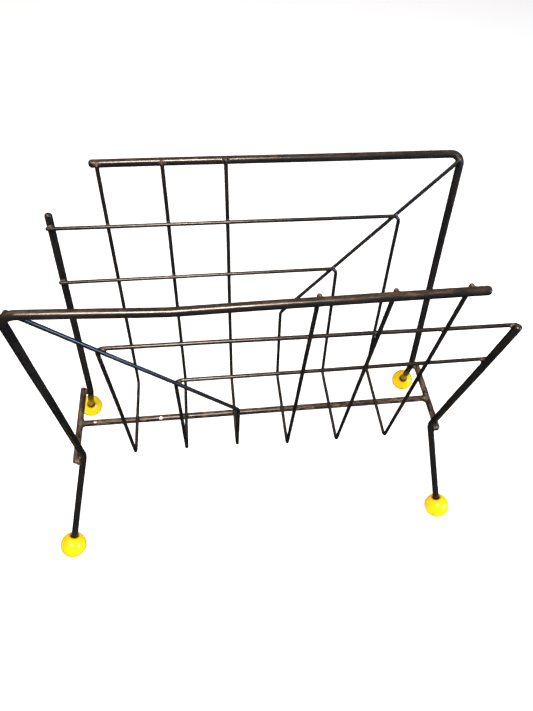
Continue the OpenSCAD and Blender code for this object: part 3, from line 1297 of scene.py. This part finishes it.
class MagazineRack:
    """The whole rack."""

    weld_styles = {
        "rail_welds": WeldStyle(reach=0.86, fillet=0.62, ripple=0.4 * MM),
        "lattice_welds": WeldStyle(reach=0.9, fillet=0.6, ripple=0.18 * MM),
        "leg_welds": WeldStyle(reach=0.82, fillet=0.55),
        "corner_weld": WeldStyle(reach=0.9, fillet=0.7),
        "floor_welds": WeldStyle(reach=0.85, fillet=0.5),
        "base_welds": WeldStyle(reach=0.92, fillet=0.6, ripple=0.55 * MM, ripple_length=2.0 * MM),
    }
    feet = {
        "ball_front_left": "front_frame",
        "ball_front_right": "front_lone_leg",
        "ball_back_left": "back_lone_leg",
        "ball_back_right": "back_frame",
    }

    def __init__(self, frame: dict) -> None:
        """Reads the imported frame.
        """
        self.nodes = frame["nodes"]
        self.effects = Effects()
        self.rods: dict[str, Rod] = {}

    def build(self) -> None:
        """Builds and dresses every piece, in the order a maker would."""
        self._bend_rods()
        self._weld()
        self._fit_balls()

    def _finish_for(self, node: str, materials: dict[str, bpy.types.Material]) -> bpy.types.Material:
        """The paint that suits a rod: rails get brown tops, partly scuffed paint and partly painted
        highlight, base bars go mottled, wires stay blackest.
        """
        if node.endswith("bar"):
            return materials["base"]
        return materials["wire"] if "_wire_" in node else materials["frame"]

    def _bend_rods(self) -> None:
        """Bends, paints and installs every rod."""
        low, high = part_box("centre_bar")
        top = (low.z + high.z) / 2 + 3.0 * MM
        chips = (
            ChipMark((low.x * 0.56, -1.6 * MM, top - 1.4 * MM), 1.5 * MM),
            ChipMark((low.x * 0.93, -1.0 * MM, top - 1.8 * MM), 1.1 * MM),
        )
        paints = {
            "frame": PaintFinish("frame_paint", scuff_and_highlight_strength=0.6, mottle=0.6, specks=0.25, patina=0.17),
            "wire": PaintFinish("wire_paint", scuff_and_highlight_strength=0.3, mottle=0.5, specks=0.2, patina=0.15),
            "base": PaintFinish("base_paint", 1.0, 1.0, specks=0.7, patina=0.8, chips=chips),
        }
        materials = {part: paint.material(self.effects) for part, paint in paints.items()}
        plans = [*Panel("front").plans(), *Panel("back").plans(), *Base().plans()]
        for number, plan in enumerate(plans):
            rod = Rod(plan, self.nodes, number)
            install(rod.build(), self._finish_for(plan.node, materials), PAINT_SLOT, plan.node)
            self.rods[plan.node] = rod

    def _weld(self) -> None:
        """Lays every weld."""
        material = WeldFinish().material(self.effects)
        for node in sorted(n for n in self.nodes if n.endswith(("_weld", "_welds"))):
            kind = node.removeprefix("front_").removeprefix("back_")
            welds = WeldSet(node, list(self.rods.values()), self.weld_styles[kind])
            install(welds.build(self.nodes), material, WELD_SLOT, node)

    def _fit_balls(self) -> None:
        """Turns, lacquers and fits the four balls."""
        material = LacquerFinish().material(self.effects)
        for ball, rod in self.feet.items():
            install(BallFoot(ball, self.rods[rod]).build(), material, BALL_SLOT, ball)


# ---------------------------------------------------------------- studio


@dataclass(frozen=True)
class Softbox:
    """A square soft light."""

    name: str
    towards: tuple[float, float, float]
    far: float
    size: float
    power: float
    colour: tuple[float, float, float]

    def build(self, aim: Vector) -> None:
        """Hangs the light so that it faces a point.

        Args:
            aim: The point that it faces.
        """
        data = bpy.data.lights.new(self.name, "AREA")
        data.shape, data.size = "SQUARE", self.size
        data.energy, data.color = self.power, self.colour
        lamp = bpy.data.objects.new(self.name, data)
        way = Vector(self.towards).normalized()
        lamp.location = aim + way * self.far
        lamp.rotation_mode = "QUATERNION"
        lamp.rotation_quaternion = way.to_track_quat("Z", "Y")
        bpy.context.scene.collection.objects.link(lamp)


@dataclass(frozen=True)
class Viewpoint:
    """Where the viewer stands, in metres and degrees."""

    eye: tuple[float, float, float] = (-0.04501, -0.318, 0.61009)
    yaw: float = 8.967
    pitch: float = 52.07
    roll: float = 3.661
    lens: float = 29.06

    def build(self) -> None:
        """Makes the camera and gives it to the scene."""
        yaw, pitch, roll = (math.radians(a) for a in (self.yaw, self.pitch, self.roll))
        ahead = Vector((math.sin(yaw) * math.cos(pitch), math.cos(yaw) * math.cos(pitch), -math.sin(pitch)))
        right = Vector((math.cos(yaw), -math.sin(yaw), 0.0))
        above = right.cross(ahead)
        across = right * math.cos(roll) + above * math.sin(roll)
        up = above * math.cos(roll) - right * math.sin(roll)
        data = bpy.data.cameras.new("viewpoint")
        data.lens, data.clip_start, data.clip_end = self.lens, 0.01, 100.0
        camera = bpy.data.objects.new("viewpoint", data)
        turn = Matrix((across, up, -ahead)).transposed().to_4x4()
        camera.matrix_world = Matrix.Translation(self.eye) @ turn
        bpy.context.scene.collection.objects.link(camera)
        bpy.context.scene.camera = camera


@dataclass
class Studio:
    """A plain pale floor, soft light and the viewpoint."""

    floor_size: float = 24.0
    floor_glow: float = 0.5
    floor_colour: Colour = (0.86, 0.86, 0.86, 1.0)
    sky: Colour = (0.9, 0.93, 1.0, 1.0)
    ground: Colour = (0.02, 0.02, 0.022, 1.0)
    sky_strength: float = 0.24
    lights: tuple[Softbox, ...] = (
        Softbox("key", (-0.09, -0.46, 0.88), 1.5, 0.42, 42.0, (1.0, 0.85, 0.69)),
        Softbox("window", (0.87, -0.46, 0.24), 1.5, 0.5, 24.0, (0.34, 0.58, 1.0)),
        Softbox("fill", (-0.55, 0.25, 0.80), 1.9, 1.2, 6.0, (0.96, 0.98, 1.0)),
    )

    def build(self) -> None:
        """Sets the whole studio."""
        Viewpoint().build()
        self._floor()
        self._sky()
        low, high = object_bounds()
        for light in self.lights:
            light.build((low + high) / 2)
        bpy.context.scene.view_settings.view_transform = "Standard"

    def _floor(self) -> None:
        """Lays the floor at the height that the balls stand on."""
        mesh = bmesh.new()
        bmesh.ops.create_grid(mesh, x_segments=4, y_segments=4, size=self.floor_size / 2)
        bmesh.ops.translate(mesh, verts=mesh.verts, vec=(0.0, 0.0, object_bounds()[0].z))
        floor = finished(mesh, "studio_floor")
        material, graph, shader = new_material("pale_floor")
        shade = graph.blend(graph.noise(graph.place(), 3.0), self.floor_colour, (0.88, 0.88, 0.88, 1.0))
        graph.feed(shader.inputs["Base Color"], shade)
        shader.inputs["Roughness"].default_value = 0.9
        shader.inputs["Specular IOR Level"].default_value = 0.0
        shader.inputs["Emission Color"].default_value = self.floor_colour
        shader.inputs["Emission Strength"].default_value = self.floor_glow
        floor.data.materials.append(material)
        floor.visible_glossy = False
        floor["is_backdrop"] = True

    def _sky(self) -> None:
        """Surrounds the rack with a pale dome that is dark below the horizon."""
        world = bpy.data.worlds.new("studio_dome")
        bpy.context.scene.world = world
        world.use_nodes = True
        graph = Graph(world.node_tree)
        background = world.node_tree.nodes["Background"]
        way = graph.add("ShaderNodeTexCoord").outputs["Generated"]
        up = graph.add("ShaderNodeSeparateXYZ", Vector=way).outputs["Z"]
        dome = graph.blend(graph.smooth(up, -0.05, 0.25), self.ground, self.sky)
        seen = graph.add("ShaderNodeLightPath").outputs["Is Camera Ray"]
        graph.feed(background.inputs["Color"], graph.blend(seen, dome, (1.9, 1.9, 1.9, 1.0)))
        background.inputs["Strength"].default_value = self.sky_strength


def main() -> None:
    """Loads the frame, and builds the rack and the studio."""
    logging.basicConfig(level=logging.INFO, format="%(name)s: %(message)s")
    noise.seed_set(SEED)
    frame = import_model()
    MagazineRack(frame).build()
    Studio().build()


if __name__ == "__main__":
    main()
